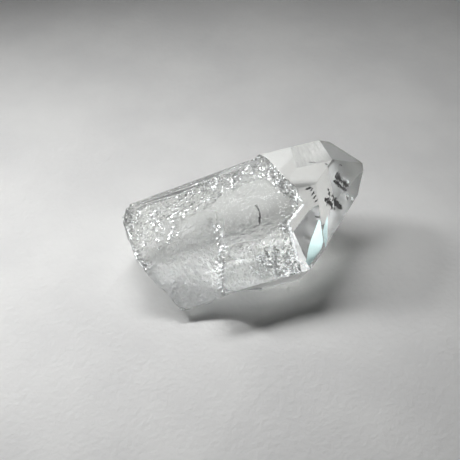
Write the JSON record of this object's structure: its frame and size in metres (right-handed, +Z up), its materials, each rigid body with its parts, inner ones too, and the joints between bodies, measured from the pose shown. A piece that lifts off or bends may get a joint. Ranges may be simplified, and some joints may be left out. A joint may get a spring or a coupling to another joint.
{
  "type": "quartz crystal",
  "caption": "Clear quartz point lying on a prism face, with a bright flat-faced tip and a broken, frosted and etched base.",
  "frame": {"origin": "centre of the box on the plane of the resting face", "axes": "+X along the c axis towards the tip, +Y towards the back, +Z up from the resting face"},
  "size_m": [0.047, 0.025, 0.0206],
  "materials": {
    "clear_quartz": "clear and glossy on the growth faces, frosted and sparkling where it is etched or broken"
  },
  "bodies": {
    "root": {"quartz_crystal": "clear_quartz"}
  },
  "joints": []
}
